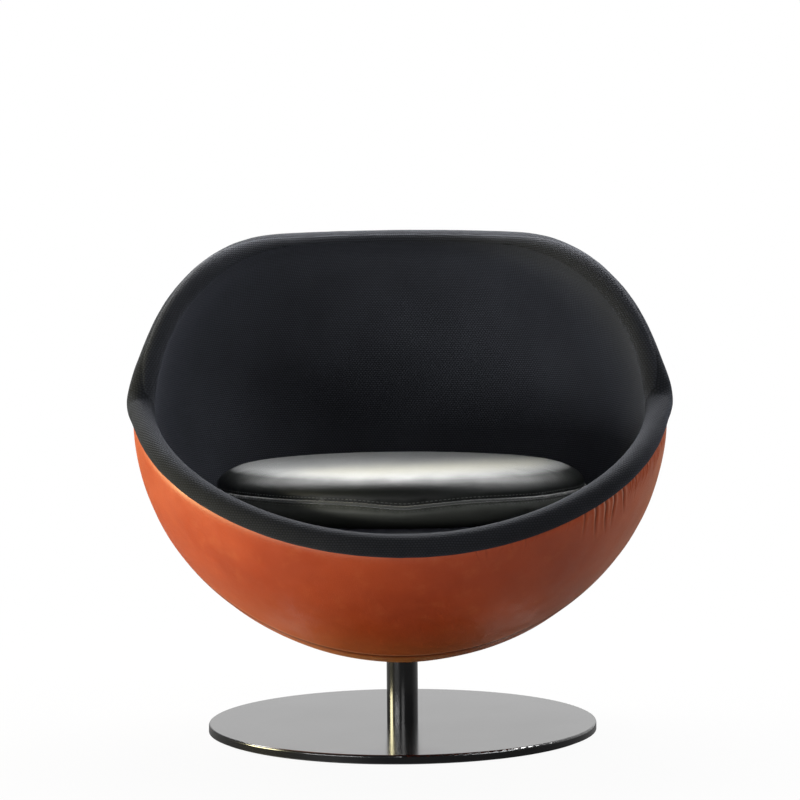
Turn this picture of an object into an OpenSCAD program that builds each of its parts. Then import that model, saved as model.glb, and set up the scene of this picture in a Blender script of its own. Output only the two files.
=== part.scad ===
// Ball chair: an upholstered bowl with a slanting mouth that turns on a post and a round base.
// The origin is on the floor, on the axis that the bowl turns about. -Y is the front.

/* [Ball] */
// Radius of the ball at its widest, over the leather
ball_r = 410; // [400:1:425]
// Half of the ball's height, over the leather
ball_half_h = 382; // [370:1:388]
// Height of the ball's lowest point above the base plate
ball_lift = 97; // [70:1:150]

/* [Mouth] */
// Height of the mouth's side corners above the ball's centre
corner_z = 17; // [8:1:25]
// Height of the mouth's rear edge above the ball's centre
mouth_top_z = 246; // [235:1:255]
// Depth behind the side corners at which the edge has reached that height
mouth_top_y = 222; // [215:1:230]
// Radius of the curve, in the side view, that brings the edge level at the rear
mouth_top_r = 170; // [160:1:180]
// Rounding of the edge at the side corners, in the side view
corner_r = 40; // [25:1:50]
// Drop of the front lip below the ball's centre
lip_drop = 152; // [135:1:165]
// Depth in front of the side corners at which that drop is reached
lip_reach = 345; // [330:1:360]
// Bow of the mouth's front edge above a straight line
front_bow = 10; // [5:1:16]

/* [Wall] */
// Thickness of the leather
leather_t = 2; // [1.5:0.1:3]
// Thickness of the foam under the leather
outer_padding_t = 6; // [4:0.5:8]
// Thickness of the moulded bowl
shell_t = 6; // [5:0.5:8]
// Thickness of the foam inside the bowl
inner_padding_t = 16; // [12:1:20]
// Thickness of the lining fabric
lining_t = 2; // [1.5:0.1:3]
// Depth, behind the ball's centre, at which the leather seam crosses the centre's height
seam_y = 94; // [70:1:110]
// Lean of the seam back from upright, in degrees
seam_lean = 35; // [28:1:38]

/* [Rim roll] */
// Radius of the roll round the mouth
rim_r = 17; // [16.5:0.5:20]
// Thickness of the fabric on the roll
rim_cover_t = 2; // [1.5:0.1:3]
// Height of the roll's centre above the edge that it sits on
rim_seat_h = 8; // [6:0.5:10]
// Extra width of the roll, on its outer side, at a side corner
corner_proud = 9; // [0:1:12]
// Reach of that extra width along the roll
corner_proud_reach = 50; // [35:1:70]

/* [Seat] */
// Height of the deck's upper face above the ball's lowest point
deck_h = 223; // [205:1:235]
// Lean of the deck and the cushion down towards the rear, in degrees
seat_lean = 2.5; // [1:0.5:5]
// Thickness of the deck's fabric
deck_cover_t = 2; // [1.5:0.1:3]
// Gap round the deck and its foam block, which lets them pass the roll at the lip
deck_gap = 3; // [2.5:0.1:4]
// Radius of the plywood disc that the seat bolts pull on
board_r = 110; // [100:1:125]
// Thickness of the plywood disc
board_t = 18; // [15:1:24]

/* [Cushion] */
// Radius of the cushion at its widest
cushion_r = 287; // [270:1:300]
// Height of the cushion's border above its seam
cushion_upper_h = 41; // [34:1:48]
// Depth of the cushion's border below its seam
cushion_lower_h = 44; // [36:1:50]
// Extra height of the crown in the middle of the cushion
cushion_crown = 2; // [1:1:12]
// Depth to which the seam draws the border in
seam_draw = 4; // [3.5:0.25:6]
// Half height of the furrow at the seam
seam_furrow = 6; // [5:0.5:9]
// Thickness of the cushion's leather
cover_t = 2; // [1.5:0.1:2.5]
// Radius of the welt in the seam
welt_r = 2.5; // [2:0.1:3]
// Distance of the cushion's centre in front of the turning axis
cushion_forward = 8; // [0:1:20]

/* [Zip] */
// Height of the zip's middle below the cushion's seam
zip_drop = 20; // [17:1:22]
// Width of the zip's tape
zip_w = 14; // [12:1:16]
// Thickness of the zip's tape
zip_t = 1.2; // [1:0.1:1.6]
// Half angle of the zip round the cushion, in degrees
zip_half_angle = 44; // [30:1:60]
// Length of the zip's slider
slider_l = 11; // [9:1:14]
// Width of the zip's slider
slider_w = 8; // [6:1:9]
// Thickness of the zip's slider
slider_t = 3.5; // [3:0.1:5]
// Length of the slider's pull tab
pull_l = 18; // [14:1:24]

/* [Base] */
// Radius of the base plate
plate_r = 300; // [280:1:330]
// Thickness of the base plate
plate_t = 12; // [11:0.5:16]
// Radius of the rounding along the plate's upper edge
plate_round = 3; // [1:0.5:5]
// Thickness of the felt under the plate
pad_t = 3; // [2:0.5:5]
// Distance of the felt's edge in from the plate's edge
pad_inset = 6; // [2:1:30]

/* [Post] */
// Outer radius of the post
post_r = 24.15; // [22:0.05:27]
// Wall thickness of the post
post_wall = 3.2; // [2.6:0.1:4]
// Length of the tapped plug in the post's foot
foot_l = 20; // [16:1:24]
// Radius of the base bolt's shank
base_bolt_r = 8; // [6:0.5:9]
// Length of the base bolt's thread in the plug
base_bolt_grip = 15; // [10:1:15]
// Radius of the base bolt's head
base_head_r = 12; // [10.5:0.5:13]
// Height of the base bolt's head
base_head_h = 5; // [4:0.5:5.5]
// Radius of the base washer
base_washer_r = 15; // [13.5:0.5:18]
// Thickness of the base washer
base_washer_t = 2; // [1.5:0.1:2.2]

/* [Swivel] */
// Radius of the spindle
spindle_r = 12.5; // [10:0.5:14]
// Radial running clearance of the spindle in its bushes
spindle_clear = 0.05; // [0.02:0.01:0.09]
// Length of a bush in the post
bush_l = 25; // [18:1:28]
// Thickness of the bushes' flanges
bush_flange_t = 3; // [2:0.5:4]
// Thickness of the thrust washer
thrust_t = 1; // [0.8:0.1:2]
// Thickness of the washer under the lower bush
spindle_washer_t = 1.5; // [1:0.1:2]
// Radius of that washer
spindle_washer_r = 17.5; // [16.5:0.5:19]
// Thickness of the spindle's retaining clip
clip_t = 1.5; // [1.2:0.1:2]
// Radial width of the retaining clip
clip_w = 3.2; // [2.5:0.1:3.5]
// Depth of the clip's groove in the spindle
clip_groove = 0.75; // [0.5:0.05:1]
// Height of the spindle's lower end above the foot plug
spindle_foot_gap = 3; // [2:0.5:6]
// Length of the spindle below the clip
spindle_tail = 5; // [4:0.5:7]
// Height of the seat flange's underside above the ball's lowest point
flange_h = 7; // [6.5:0.5:9]
// Radius of the seat flange
flange_r = 60; // [56:1:66]
// Thickness of the seat flange
flange_t = 6; // [5:0.5:8]
// Width of the bowl's flat boss beyond the seat flange
boss_margin = 18; // [12:1:24]
// Radius of the circle of the flange bolts
flange_bolt_ring_r = 42; // [36:1:46]
// Number of flange bolts
flange_bolt_count = 4; // [3:1:6]
// Radius of a flange bolt's shank
flange_bolt_r = 4; // [3:0.5:5]
// Radius of a flange bolt's head
flange_head_r = 6.5; // [5.5:0.5:7]
// Height of a flange bolt's head
flange_head_h = 8; // [5:0.5:8]
// Radius of a flange bolt's washer
flange_washer_r = 8; // [7.5:0.5:9]
// Thickness of a flange bolt's washer
flange_washer_t = 1.6; // [1:0.1:2]

/* [Clearances] */
// Gap left between soft pieces that rest on each other
rest_gap = 0.3; // [0.1:0.05:0.6]
// Gap left between the rim roll and the wall that it sits on
roll_gap = 0.6; // [0.4:0.05:0.9]
// Radial clearance of bolts and washers in their holes
hole_clear = 0.5; // [0.3:0.1:1]
// Radial gap of the leather and foam round the post
post_gap = 1.5; // [1:0.1:3]
// Radial gap of fitted pieces, such as the bushes in the post
fit_gap = 0.05; // [0.02:0.01:0.08]

/* [Hidden] */
$fn = 96;

// Heights above the floor
plate_top = pad_t + plate_t;
ball_low = plate_top + ball_lift;
ball_z = ball_low + ball_half_h;
deck_z = ball_low + deck_h;

// Depths of the wall's layers below the leather's outer face
outer_padding_at = leather_t;
shell_at = outer_padding_at + outer_padding_t;
inner_padding_at = shell_at + shell_t;
lining_at = inner_padding_at + inner_padding_t;
wall_t = lining_at + lining_t;
wall_mid = wall_t / 2;

// The ball's outline has a side arc and two flatter cap arcs that meet it without a corner,
// where the arcs' common radius has a slope of 3 in 4
join_out = 0.8;
join_up = 0.6;
side_c = 2 * (ball_r - ball_half_h);
cap_c = side_c * join_up / join_out;
side_r = ball_r - side_c;
cap_r = ball_half_h + cap_c;

// A length longer than anything in the part
far = 1000;
// A depth that makes a cut pass through a face
cut = 1;

// Radius of the ball, t below its face, at height z from its centre
function oval_r(z, t) =
    abs(z) < (side_r - t) * join_up
        ? side_c + sqrt(pow(side_r - t, 2) - z * z)
        : sqrt(pow(cap_r - t, 2) - pow(abs(z) + cap_c, 2));

// Outward direction at the point (x, y, z) of the ball, z from its centre
function oval_normal(p) =
    let (
        r = norm([p.x, p.y]),
        steep = abs(p.z) * join_out < (r - side_c) * join_up,
        out = steep ? r - side_c : r,
        up = steep ? p.z : p.z + sign(p.z) * cap_c,
        length = norm([out, up])
    )
    [p.x / r * out, p.y / r * out, up] / length;

// The mouth's edge in the side view is made of arcs, given as [depth, height] from the ball's centre:
// a shallow bow in front, a rounding at the side corner, and two arcs that climb to the level rear edge
function apart(p, q) = norm(q - p);
// Where a circle about p meets one about q, on the left of the way from p to q
function circles_meet(p, r, q, s) =
    let (
        d = apart(p, q),
        along = (d * d + r * r - s * s) / (2 * d),
        aside = sqrt(r * r - along * along),
        u = (q - p) / d
    )
    p + along * u + aside * [-u[1], u[0]];
corner_at = [0, corner_z];
lip_at = [-lip_reach, -lip_drop];
// The lower climbing arc turns off the upper one half way round
halfway = [cos(45), -sin(45)];
front_chord = apart(lip_at, corner_at);
front_r = (front_chord * front_chord / 4 + front_bow * front_bow) / (2 * front_bow);
front_c = circles_meet(corner_at, front_r, lip_at, front_r);
top_c = [mouth_top_y, mouth_top_z - mouth_top_r];
climb_join = top_c - mouth_top_r * halfway;
climb_r = pow(apart(climb_join, corner_at), 2) / (2 * (corner_at - climb_join) * halfway);
climb_c = climb_join + climb_r * halfway;
corner_c = circles_meet(front_c, front_r + corner_r, climb_c, climb_r + corner_r);
front_end = corner_c + corner_r * (front_c - corner_c) / apart(front_c, corner_c);
climb_start = corner_c + corner_r * (climb_c - corner_c) / apart(climb_c, corner_c);

// Height of the mouth's edge in the side view at depth y, from the ball's centre
function arc_z(c, r, y) = c[1] + sign(r) * sqrt(r * r - pow(y - c[0], 2));
function edge_z(y) =
    y < front_end[0] ? arc_z(front_c, front_r, y)
    : y < climb_start[0] ? arc_z(corner_c, -corner_r, y)
    : y < climb_join[0] ? arc_z(climb_c, climb_r, y)
    : y < mouth_top_y ? arc_z(top_c, mouth_top_r, y)
    : mouth_top_z;

// Distance from the axis of the mouth's middle line, in the direction a from the front
function edge_rho(a, steps = 14, rho = ball_r - wall_mid) =
    steps == 0 ? rho : edge_rho(a, steps - 1, oval_r(edge_z(-rho * cos(a)), wall_mid));
function edge_point(a) =
    let (rho = edge_rho(a))
    [rho * sin(a), -rho * cos(a), edge_z(-rho * cos(a))];

// Stations round the mouth, closer together near the side corners
front_steps = 22;
rear_steps = 28;
half_angles = concat(
    [for (i = [0 : front_steps - 1]) 90 * sin(90 * i / front_steps)],
    [for (i = [0 : rear_steps]) 90 + 90 * (1 - cos(90 * i / rear_steps))]
);
half_count = len(half_angles);
angles = concat(half_angles, [for (i = [half_count - 2 : -1 : 1]) 360 - half_angles[i]]);
stations = len(angles);
edge = [for (a = angles) edge_point(a)];

// Frame at each station: square to the mouth's cut, and outward across the wall
function unit(v) = v / norm(v);
edge_square = [for (p = edge) unit([0, edge_z(p.y - 1) - edge_z(p.y + 1), 2])];
edge_across = [for (i = [0 : stations - 1])
    let (
        ahead = edge[(i + 1) % stations],
        behind = edge[(i + stations - 1) % stations]
    )
    unit(cross(ahead - behind, edge_square[i]))];

// Lean of the wall from square at each station, as a tangent
edge_lean = [for (i = [0 : stations - 1])
    let (n = oval_normal(edge[i]))
    (n * edge_square[i]) / (n * edge_across[i])];

// Extra width of the roll's outer side at each station, which is largest at the side corners
corner = [edge_rho(90), 0, edge_z(0)];
edge_proud = [for (p = edge)
    corner_proud * exp(-pow(norm([abs(p.x), p.y, p.z] - corner) / corner_proud_reach, 2))];

// A point of the roll's section at a station: it widens and leans with the wall that it covers
function roll_point(i, s) =
    let (
        lean = edge_lean[i],
        proud = edge_proud[i] * (1 + s[0] / rim_r) / 2,
        across = s[0] * sqrt(1 + lean * lean) - min(s[1], 0) * lean + proud
    )
    edge[i] + across * edge_across[i] + s[1] * edge_square[i] + [0, 0, ball_z];

// Faces of a closed loop of rings with n points each
function loop_faces(n) = [
    for (i = [0 : stations - 1], k = [0 : n - 1])
        let (
            j = (i + 1) % stations,
            l = (k + 1) % n
        )
        each [[i * n + k, j * n + k, j * n + l], [i * n + k, j * n + l, i * n + l]]
];

// Arc of a roll's section, from one end of its seat round to the other
function seat_angle(r) = asin(rim_seat_h / r);
function section_arc(r, n) = [for (k = [0 : n])
    let (a = -seat_angle(r) + (180 + 2 * seat_angle(r)) * k / n)
    [r * cos(a), r * sin(a)]];

module sweep_round_mouth(section) {
    points = [for (i = [0 : stations - 1], s = section) roll_point(i, s)];
    polyhedron(points, loop_faces(len(section)), convexity = 10);
}

// Points along an arc of the side view from depth y0 up to y1, moved into the wall by the cut's drop
cut_drop = rim_seat_h + roll_gap;
function cut_arc(c, r, y0, y1, n) = [for (k = [0 : n - 1])
    let (
        a0 = acos((y0 - c[0]) / r),
        a1 = acos((y1 - c[0]) / r),
        a = a0 + (a1 - a0) * k / n
    )
    c + (r - cut_drop) * [cos(a), sin(a)]];

// Everything above the cut that the wall ends in, which lies under the roll's seat
module mouth_space() {
    translate([-far, 0, ball_z]) rotate([90, 0, 90]) linear_extrude(2 * far) polygon(concat(
        cut_arc(front_c, front_r, -1.4 * lip_reach, front_end[0], 6),
        cut_arc(corner_c, -corner_r, front_end[0], climb_start[0], 5),
        cut_arc(climb_c, climb_r, climb_start[0], climb_join[0], 6),
        cut_arc(top_c, mouth_top_r, climb_join[0], mouth_top_y, 6),
        [[mouth_top_y, mouth_top_z - cut_drop], [far, mouth_top_z - cut_drop], [far, far], [-far, far]]
    ));
}

// Half outline of the ball, t below its face, with its centre at the origin
module ball_outline(t) {
    module side_wedge() {
        polygon([
            [side_c, 0],
            [side_c + far * join_out, -far * join_up],
            [side_c + far * join_out, far * join_up]
        ]);
    }
    intersection() {
        translate([0, -far]) square([far, 2 * far]);
        union() {
            intersection() {
                translate([side_c, 0]) circle(r = side_r - t);
                side_wedge();
            }
            for (up = [-1, 1]) difference() {
                intersection() {
                    translate([0, -up * cap_c]) circle(r = cap_r - t);
                    scale([1, up]) translate([0, -cut]) square([far, far]);
                }
                side_wedge();
            }
        }
    }
}

module ball_solid(t) {
    translate([0, 0, ball_z]) rotate_extrude() ball_outline(t);
}

// Layer of the wall between two depths, before it is cut for the mouth
module ball_layer(t0, t1) {
    translate([0, 0, ball_z]) rotate_extrude() difference() {
        ball_outline(t0);
        ball_outline(t1);
    }
}

module disc(r, z0, z1) {
    translate([0, 0, z0]) cylinder(r = r, h = z1 - z0);
}

module ring(r_out, r_in, z0, z1) {
    difference() {
        disc(r_out, z0, z1);
        disc(r_in, z0 - cut, z1 + cut);
    }
}

// Felt disc that covers the plate's underside and its bolt
module floor_pad() {
    color("dimgray") disc(plate_r - pad_inset, 0, pad_t);
}

// Base plate with a rounded upper edge and a counterbore for its bolt
base_pocket_h = base_head_h + base_washer_t + hole_clear;
module base_plate() {
    color("#222326") difference() {
        translate([0, 0, pad_t]) rotate_extrude() union() {
            square([plate_r, plate_t - plate_round]);
            square([plate_r - plate_round, plate_t]);
            translate([plate_r - plate_round, plate_t - plate_round]) intersection() {
                circle(r = plate_round);
                square([plate_round, plate_round]);
            }
        }
        disc(base_bolt_r + hole_clear, pad_t - cut, plate_top + cut);
        disc(base_washer_r + hole_clear, pad_t - cut, pad_t + base_pocket_h);
    }
}

base_washer_z = pad_t + base_pocket_h - base_washer_t;
module base_washer() {
    color("silver")
        ring(base_washer_r, base_bolt_r + hole_clear, base_washer_z, base_washer_z + base_washer_t);
}

// Base bolt with a hexagon socket in its head
module base_bolt() {
    color("dimgray") difference() {
        union() {
            disc(base_head_r, base_washer_z - base_head_h, base_washer_z);
            disc(base_bolt_r, base_washer_z - cut, plate_top + base_bolt_grip);
        }
        translate([0, 0, base_washer_z - base_head_h - cut])
            cylinder(r = base_bolt_r * 0.7, h = base_head_h * 0.6 + cut, $fn = 6);
    }
}

// Tapped plug in the foot of the post
post_bore_r = post_r - post_wall;
foot_top = plate_top + foot_l;
module column_foot() {
    color("silver") ring(post_bore_r, base_bolt_r + fit_gap, plate_top, foot_top);
}

// The post ends under the flange of the upper bush
flange_z = ball_low + flange_h;
thrust_z = flange_z - thrust_t;
post_top = thrust_z - bush_flange_t;
module column_tube() {
    color("#222326") ring(post_r, post_bore_r, plate_top, post_top);
}

module upper_bush() {
    color("white") difference() {
        union() {
            disc(post_bore_r - fit_gap, post_top - bush_l, post_top + cut);
            disc(post_r, post_top, thrust_z);
        }
        disc(spindle_r + spindle_clear, post_top - bush_l - cut, thrust_z + cut);
    }
}

// The spindle reaches from the seat flange down past the lower bush to its clip
spindle_low = foot_top + spindle_foot_gap;
clip_z = spindle_low + spindle_tail;
spindle_washer_z = clip_z + clip_t + fit_gap;
lower_bush_z = spindle_washer_z + spindle_washer_t + fit_gap;
module lower_bush() {
    color("white")
        ring(post_bore_r - fit_gap, spindle_r + spindle_clear, lower_bush_z, lower_bush_z + bush_l);
}

module thrust_washer() {
    color("goldenrod") ring(post_r - cut, spindle_r + spindle_clear, thrust_z, flange_z);
}

module spindle() {
    color("silver") difference() {
        disc(spindle_r, spindle_low, flange_z + flange_t);
        ring(spindle_r + cut, spindle_r - clip_groove, clip_z - fit_gap, clip_z + clip_t + fit_gap);
    }
}

module spindle_washer() {
    color("silver")
        ring(spindle_washer_r, spindle_r + fit_gap, spindle_washer_z, spindle_washer_z + spindle_washer_t);
}

// Open retaining clip with two rounded ears
clip_inner_r = spindle_r - clip_groove + fit_gap;
clip_open_angle = 50;
module spindle_clip() {
    ear_r = clip_w * 0.8;
    ear_at = clip_inner_r + clip_w * 0.6;
    color("dimgray") translate([0, 0, clip_z]) difference() {
        union() {
            difference() {
                cylinder(r = clip_inner_r + clip_w, h = clip_t);
                translate([0, 0, -cut]) cylinder(r = clip_inner_r, h = clip_t + 2 * cut);
                translate([0, 0, -cut]) linear_extrude(clip_t + 2 * cut) polygon([
                    [0, 0],
                    [far * sin(clip_open_angle / 2), -far * cos(clip_open_angle / 2)],
                    [-far * sin(clip_open_angle / 2), -far * cos(clip_open_angle / 2)]
                ]);
            }
            for (side = [-1, 1])
                rotate([0, 0, side * clip_open_angle / 2]) translate([0, -ear_at, 0])
                    cylinder(r = ear_r, h = clip_t);
        }
        translate([0, 0, -cut]) cylinder(r = clip_inner_r, h = clip_t + 2 * cut);
    }
}

// Seat flange, tapped for the flange bolts
module at_flange_bolts() {
    for (i = [0 : flange_bolt_count - 1])
        rotate([0, 0, 360 * (i + 0.5) / flange_bolt_count]) translate([flange_bolt_ring_r, 0, 0]) children();
}

flange_top = flange_z + flange_t;
module seat_flange() {
    color("silver") difference() {
        ring(flange_r, spindle_r, flange_z, flange_top);
        at_flange_bolts() disc(flange_bolt_r + fit_gap, flange_z - cut, flange_top + cut);
    }
}

// Moulded bowl with a thick flat boss that sits on the seat flange
boss_r = flange_r + boss_margin;
boss_top = flange_top + shell_t;
module shell() {
    color("tan") difference() {
        union() {
            ball_layer(shell_at, inner_padding_at);
            intersection() {
                disc(boss_r, flange_top, boss_top);
                ball_solid(shell_at);
            }
        }
        disc(flange_r + fit_gap, ball_low - cut, flange_top);
        at_flange_bolts() disc(flange_bolt_r + hole_clear, ball_low, boss_top + far / 10);
        mouth_space();
    }
}

// Plywood disc on the boss, counterbored for the flange bolts
board_top = boss_top + board_t;
bolt_pocket_z = board_top - flange_head_h - flange_washer_t - hole_clear;
module floor_board() {
    color("burlywood") difference() {
        intersection() {
            disc(board_r, boss_top, board_top);
            ball_solid(inner_padding_at);
        }
        at_flange_bolts() {
            disc(flange_bolt_r + hole_clear, boss_top - cut, board_top + cut);
            disc(flange_washer_r + hole_clear, bolt_pocket_z, board_top + cut);
        }
    }
}

module flange_washers() {
    color("silver") at_flange_bolts()
        ring(flange_washer_r, flange_bolt_r + hole_clear, bolt_pocket_z, bolt_pocket_z + flange_washer_t);
}

module flange_bolts() {
    head_z = bolt_pocket_z + flange_washer_t;
    color("dimgray") at_flange_bolts() difference() {
        union() {
            disc(flange_head_r, head_z, head_z + flange_head_h);
            disc(flange_bolt_r, flange_z + cut, head_z + cut);
        }
        translate([0, 0, head_z + flange_head_h / 2])
            cylinder(r = flange_bolt_r * 0.8, h = flange_head_h, $fn = 6);
    }
}

// Foam between the bowl and the leather
module outer_padding() {
    color("khaki") difference() {
        ball_layer(outer_padding_at, shell_at);
        disc(flange_r + fit_gap, 0, flange_top);
        mouth_space();
    }
}

// Leather: the front panel wraps the front and the sides, and the rear panel the rest
module in_front_of_seam() {
    translate([0, seam_y, ball_z]) rotate([-seam_lean, 0, 0])
        translate([-far, -2 * far, -far]) cube([2 * far, 2 * far, 2 * far]);
}

module leather_layer() {
    difference() {
        ball_layer(0, leather_t);
        disc(post_r + post_gap, 0, ball_z);
        mouth_space();
    }
}

module leather_front() {
    color("sienna") intersection() {
        leather_layer();
        in_front_of_seam();
    }
}

module leather_rear() {
    color("saddlebrown") difference() {
        leather_layer();
        in_front_of_seam();
    }
}

// Foam and lining inside the bowl, open over the plywood disc
module inner_padding() {
    color("khaki") difference() {
        ball_layer(inner_padding_at, lining_at);
        disc(board_r + fit_gap, 0, ball_z);
        mouth_space();
    }
}

module lining() {
    color("#202226") difference() {
        ball_layer(lining_at, wall_t);
        disc(board_r + fit_gap, 0, ball_z);
        mouth_space();
    }
}

// Rim roll: foam core under a fabric cover that is open along its seat
roll_facets = 10;
rim_core_r = rim_r - rim_cover_t - rest_gap;
module rim_core() {
    color("khaki") sweep_round_mouth(section_arc(rim_core_r, roll_facets));
}

module rim_cover() {
    outer = section_arc(rim_r, roll_facets);
    inner = section_arc(rim_r - rim_cover_t, roll_facets);
    color("#2a2c31") sweep_round_mouth(concat(outer, [for (k = [len(inner) - 1 : -1 : 0]) inner[k]]));
}

// The seat leans about a level line across the deck under the cushion's centre
module at_seat() {
    translate([0, -cushion_forward, deck_z]) rotate([-seat_lean, 0, 0]) children();
}

module below_deck(depth) {
    at_seat() translate([-far, -far, -far - depth]) cube([2 * far, 2 * far, far]);
}

// Foam block in the bottom of the bowl, under the deck's fabric
module seat_block() {
    color("khaki") intersection() {
        ball_solid(wall_t + deck_gap);
        disc(ball_r, board_top + rest_gap, ball_z);
        below_deck(deck_cover_t);
    }
}

module deck_cover() {
    color("#202226") intersection() {
        ball_solid(wall_t + deck_gap);
        difference() {
            below_deck(0);
            below_deck(deck_cover_t);
        }
    }
}

// Half outline of the cushion, t below its leather, as a rounded box with a crown.
// Powers below 1 make the border squarer than an ellipse
border_power = 0.22;
face_power = 0.9;
function border_r(a, t) = (cushion_r - t) * pow(cos(a), border_power);
function border_z(a, t) =
    a >= 0
        ? (cushion_upper_h - t) * pow(sin(a), face_power)
        : -(cushion_lower_h - t) * pow(-sin(a), face_power);
function furrow(z) = seam_draw * exp(-pow(z / seam_furrow, 2));
function cushion_point(a, t) =
    let (
        r = border_r(a, t),
        z = border_z(a, t),
        crown = a > 0 ? cushion_crown * pow(1 - pow(r / (cushion_r - t), 2), 2) : 0
    )
    [max(0, r - furrow(z)), z + crown];
border_steps = 24;
function cushion_outline(t) = concat(
    [[0, -(cushion_lower_h - t)]],
    [for (i = [-border_steps + 1 : border_steps - 1]) cushion_point(90 * i / border_steps, t)],
    [[0, cushion_upper_h - t + cushion_crown]]
);

module at_cushion() {
    at_seat() translate([0, 0, rest_gap + cushion_lower_h]) children();
}

module cushion_solid(t) {
    rotate_extrude() polygon(cushion_outline(t));
}

module cushion_core() {
    color("khaki") at_cushion() cushion_solid(cover_t + rest_gap);
}

module cushion_cover() {
    rotate_extrude() difference() {
        polygon(cushion_outline(0));
        polygon(cushion_outline(cover_t));
    }
}

module cushion_top() {
    color("#2c302c") at_cushion() intersection() {
        cushion_cover();
        translate([0, 0, fit_gap]) cylinder(r = far, h = far);
    }
}

module cushion_underside() {
    color("#2c302c") at_cushion() difference() {
        cushion_cover();
        translate([0, 0, -fit_gap]) cylinder(r = far, h = far);
    }
}

// The welt lies in the furrow of the seam
module cushion_welt() {
    color("#232623") at_cushion() rotate_extrude()
        translate([cushion_r - seam_draw + welt_r + rest_gap, 0]) circle(r = welt_r);
}

// Closed zip along the back of the cushion's lower border
module zip_band(t0, t1, half_w, half_angle) {
    rotate([0, 0, 90 - half_angle]) rotate_extrude(angle = 2 * half_angle) intersection() {
        difference() {
            polygon(cushion_outline(-t1));
            polygon(cushion_outline(-t0));
        }
        translate([0, -zip_drop - half_w]) square([far, 2 * half_w]);
    }
}

module zip_tape() {
    color("#1a1a1a") at_cushion() zip_band(rest_gap, rest_gap + zip_t, zip_w / 2, zip_half_angle);
}

// Slider with its pull tab, which runs along the tape
module zip_slider() {
    under = 2 * rest_gap + zip_t;
    body_half_angle = atan(slider_l / 2 / cushion_r);
    tab_half_angle = atan(slider_w / 4 / cushion_r);
    color("silver") at_cushion() union() {
        zip_band(under, under + slider_t, slider_w / 2, body_half_angle);
        intersection() {
            zip_band(under + slider_t / 2, under + slider_t, far, tab_half_angle);
            translate([0, 0, -zip_drop - pull_l]) cylinder(r = far, h = pull_l);
        }
    }
}

floor_pad();
base_plate();
base_washer();
base_bolt();
column_foot();
column_tube();
lower_bush();
upper_bush();
thrust_washer();
spindle();
spindle_washer();
spindle_clip();
seat_flange();
shell();
floor_board();
flange_washers();
flange_bolts();
outer_padding();
leather_front();
leather_rear();
inner_padding();
lining();
rim_core();
rim_cover();
seat_block();
deck_cover();
cushion_core();
cushion_top();
cushion_underside();
cushion_welt();
zip_tape();
zip_slider();
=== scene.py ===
"""Ball chair: its looks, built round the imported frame. Metres, +Z up, -Y towards the front."""
import itertools
import math

import bmesh
import bpy
import numpy as np
from mathutils import Matrix, Vector
from mathutils.bvhtree import BVHTree


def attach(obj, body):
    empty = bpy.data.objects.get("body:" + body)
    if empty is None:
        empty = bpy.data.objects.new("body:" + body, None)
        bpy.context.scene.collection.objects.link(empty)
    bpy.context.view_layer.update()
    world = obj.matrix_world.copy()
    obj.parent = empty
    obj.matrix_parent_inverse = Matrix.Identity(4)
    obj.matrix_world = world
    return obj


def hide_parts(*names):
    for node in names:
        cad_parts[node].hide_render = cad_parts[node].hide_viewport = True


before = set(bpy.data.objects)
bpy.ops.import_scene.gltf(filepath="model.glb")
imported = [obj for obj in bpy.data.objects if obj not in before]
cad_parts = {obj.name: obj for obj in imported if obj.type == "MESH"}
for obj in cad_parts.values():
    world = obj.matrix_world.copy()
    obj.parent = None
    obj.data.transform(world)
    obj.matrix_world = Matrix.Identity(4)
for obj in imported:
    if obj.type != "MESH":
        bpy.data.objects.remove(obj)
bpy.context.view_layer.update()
scene = bpy.context.scene

# Ball, the same values as the CAD model's, in metres
BALL_R = 0.410
BALL_HALF_H = 0.382
BALL_Z = 0.494
SIDE_C = 2 * (BALL_R - BALL_HALF_H)
SIDE_R = BALL_R - SIDE_C
CAP_C = SIDE_C * 0.75
CAP_R = BALL_HALF_H + CAP_C
JOIN = math.asin(0.6)
WALL_T = 0.032
SEAM_Y = 0.094
SEAM_TAN = math.tan(math.radians(35))
DECK_Z = 0.335
DECK_GAP = 0.003
POST_HOLE_R = 0.02565
ROLL_R = 0.0173
# The solids' leather is cut this far below the mouth's edge, and the dressed leather a little less
CUT_DROP = 0.0086
LEATHER_DROP = CUT_DROP - 0.0004
# The fabric's pattern repeats a whole number of times round the bowl
CLOTH_DASH = 0.0046
CLOTH_ROW = 0.0036
CLOTH_R = 492 * CLOTH_DASH / (2 * math.pi)

# Seat: the deck and the cushion lean back, and the cushion is modelled from the centre of its seam
SEAT_LEAN = math.radians(2.5)
SEAT_AT = Vector((0.0, -0.008, DECK_Z))
CUSHION_R = 0.287
CUSHION_UP = 0.041
CUSHION_DOWN = 0.044
CUSHION_CROWN = 0.002
BORDER_POWER = 0.22
FACE_POWER = 0.9
REST_GAP = 0.0003
ZIP_DROP = 0.020
CUSHION_FRAME = (
    Matrix.Translation(SEAT_AT)
    @ Matrix.Rotation(-SEAT_LEAN, 4, "X")
    @ Matrix.Translation((0, 0, REST_GAP + CUSHION_DOWN))
)


def circles_meet(p, r, q, s):
    """Where a circle about p meets one about q, on the left of the way from p to q."""
    way = q - p
    along = (abs(way) ** 2 + r * r - s * s) / (2 * abs(way))
    return p + complex(along, math.sqrt(r * r - along * along)) * way / abs(way)


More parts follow.
